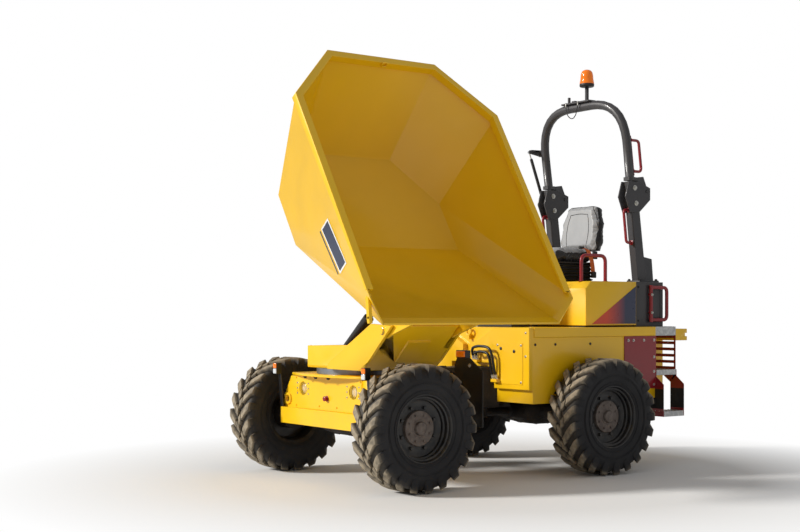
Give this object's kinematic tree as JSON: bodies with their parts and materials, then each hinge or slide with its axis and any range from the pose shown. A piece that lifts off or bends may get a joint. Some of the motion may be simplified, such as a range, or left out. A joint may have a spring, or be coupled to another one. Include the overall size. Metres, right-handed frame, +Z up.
{
  "type": "site dumper",
  "caption": "Articulated site dumper: a swivelling, tipping open skip on the front chassis, driver's seat, folding roll-over hoop and steps on the rear, on lugged tyres",
  "frame": {"origin": "on the ground, under the middle of the whole machine's box at rest", "axes": "+X forward, +Y to the machine's left, +Z up"},
  "size_m": [3.8852, 2.4546, 3.3559],
  "materials": {
    "dark_casting": "dark painted casting",
    "yellow_paint": "gloss yellow paint",
    "chequer_plate": "aluminium tread plate",
    "red_paint": "gloss red paint",
    "dark_grey_paint": "dark grey paint",
    "black_plastic": "matt black plastic",
    "seat_vinyl": "grey seat vinyl",
    "amber_lens": "amber plastic",
    "hose_rubber": "matt black rubber",
    "black_paint": "satin black paint",
    "bright_steel": "bright steel",
    "clear_lens": "clear lens",
    "tyre_rubber": "dusty black rubber"
  },
  "bodies": {
    "rear_chassis": {"rear_frame": "dark_casting", "rear_axle": "dark_casting", "rear_body": "yellow_paint", "rear_bumper": "yellow_paint", "rear_deck": "chequer_plate", "steps_left": "red_paint", "steps_right": "red_paint", "engine_block": "dark_casting", "seat_box": "yellow_paint", "rops_base": "dark_grey_paint", "seat_suspension": "black_plastic", "seat_cushion": "seat_vinyl", "seat_backrest": "seat_vinyl", "dash_console": "black_plastic", "steering_wheel": "black_plastic", "post_handle_left": "red_paint", "post_handle_right": "red_paint", "grab_rail_left": "red_paint", "grab_rail_right": "red_paint", "rear_handle_left": "red_paint", "rear_handle_right": "red_paint", "hydraulic_hose_outer": "hose_rubber", "hydraulic_hose_inner": "hose_rubber"},
    "folding_hoop": {"rops_hoop": "dark_grey_paint", "hoop_handle": "red_paint", "beacon_lamp": "amber_lens", "beacon_lead": "hose_rubber"},
    "strut_tube": {"strut_barrel": "black_paint"},
    "strut_shaft": {"strut_rod": "bright_steel"},
    "front_chassis": {"front_frame": "yellow_paint", "front_axle": "dark_casting", "front_bumper": "yellow_paint", "front_panel": "yellow_paint", "headlight_left": "clear_lens", "headlight_right": "clear_lens", "light_cluster_left": "black_paint", "light_cluster_right": "black_paint", "turntable_plate": "yellow_paint", "slew_ring": "bright_steel", "mudguard_left": "black_paint", "mudguard_right": "black_paint"},
    "steer_cylinder": {"steer_barrel": "black_paint"},
    "steer_piston": {"steer_rod": "bright_steel"},
    "turntable": {"swivel_frame": "yellow_paint"},
    "tip_cylinder": {"tip_barrel": "black_paint"},
    "tip_piston": {"tip_rod": "bright_steel"},
    "skip": {"skip_tub": "yellow_paint"},
    "wheel_front_left": {"tyre_front_left": "tyre_rubber", "rim_front_left": "black_paint"},
    "wheel_front_right": {"tyre_front_right": "tyre_rubber", "rim_front_right": "black_paint"},
    "wheel_rear_left": {"tyre_rear_left": "tyre_rubber", "rim_rear_left": "black_paint"},
    "wheel_rear_right": {"tyre_rear_right": "tyre_rubber", "rim_rear_right": "black_paint"}
  },
  "joints": [
    {"name": "articulation_steer", "type": "hinge", "parent": "rear_chassis", "child": "front_chassis", "pos_m": [0.22015, -0.21229, 0.67], "axis": [0, 0, 1], "range_deg": [-33, 33]},
    {"name": "skip_swivel", "type": "hinge", "parent": "front_chassis", "child": "turntable", "pos_m": [1.03765, -0.21229, 0.85], "axis": [0, 0, 1], "range_deg": [-180, 0]},
    {"name": "skip_tip", "type": "hinge", "parent": "turntable", "child": "skip", "pos_m": [1.03765, 0.58771, 1.14], "axis": [-1, 0, 0], "range_deg": [-57.2, 0]},
    {"name": "tip_barrel_swing", "type": "hinge", "parent": "turntable", "child": "tip_cylinder", "pos_m": [1.03765, -0.44729, 0.9153], "axis": [-1, 0, 0], "range_deg": [-0.5, 24.57]},
    {"name": "tip_rod_slide", "type": "slide", "parent": "tip_cylinder", "child": "tip_piston", "axis": [0, 0.7781, 0.6282], "range_m": [-0.3405, 0.003]},
    {"name": "steer_barrel_swing", "type": "hinge", "parent": "rear_chassis", "child": "steer_cylinder", "pos_m": [-0.02985, -0.06229, 0.473], "axis": [0, 0, 1], "range_deg": [-16, 16]},
    {"name": "steer_rod_slide", "type": "slide", "parent": "steer_cylinder", "child": "steer_piston", "axis": [1, 0, 0], "range_m": [-0.09, 0.09]},
    {"name": "rops_fold", "type": "hinge", "parent": "rear_chassis", "child": "folding_hoop", "pos_m": [-1.53285, -0.21229, 2.287], "axis": [0, 1, 0], "range_deg": [-95, 0]},
    {"name": "strut_barrel_swing", "type": "hinge", "parent": "rear_chassis", "child": "strut_tube", "pos_m": [-1.37285, -0.78729, 2.292], "axis": [0, 1, 0], "range_deg": [-87.5, 1]},
    {"name": "strut_rod_slide", "type": "slide", "parent": "strut_tube", "child": "strut_shaft", "axis": [0.3635, 0, 0.9316], "range_m": [-0.003, 0.2252]},
    {"name": "roll_front_left", "type": "hinge", "parent": "front_chassis", "child": "wheel_front_left", "pos_m": [1.13765, 0.65271, 0.455], "axis": [0, 1, 0], "continuous": true},
    {"name": "roll_front_right", "type": "hinge", "parent": "front_chassis", "child": "wheel_front_right", "pos_m": [1.13765, -1.07729, 0.455], "axis": [0, 1, 0], "continuous": true},
    {"name": "roll_rear_left", "type": "hinge", "parent": "rear_chassis", "child": "wheel_rear_left", "pos_m": [-0.69735, 0.65271, 0.455], "axis": [0, 1, 0], "continuous": true},
    {"name": "roll_rear_right", "type": "hinge", "parent": "rear_chassis", "child": "wheel_rear_right", "pos_m": [-0.69735, -1.07729, 0.455], "axis": [0, 1, 0], "continuous": true}
  ],
  "couplings": [
    {"joint": "tip_barrel_swing", "follows": "skip_tip", "ratio": -0.42089},
    {"joint": "tip_rod_slide", "follows": "skip_tip", "m_per_rad": 0.33802},
    {"joint": "steer_barrel_swing", "follows": "articulation_steer", "ratio": 0.41987},
    {"joint": "steer_rod_slide", "follows": "articulation_steer", "m_per_rad": -0.14778},
    {"joint": "strut_barrel_swing", "follows": "rops_fold", "ratio": 0.91091},
    {"joint": "strut_rod_slide", "follows": "rops_fold", "m_per_rad": -0.134}
  ]
}
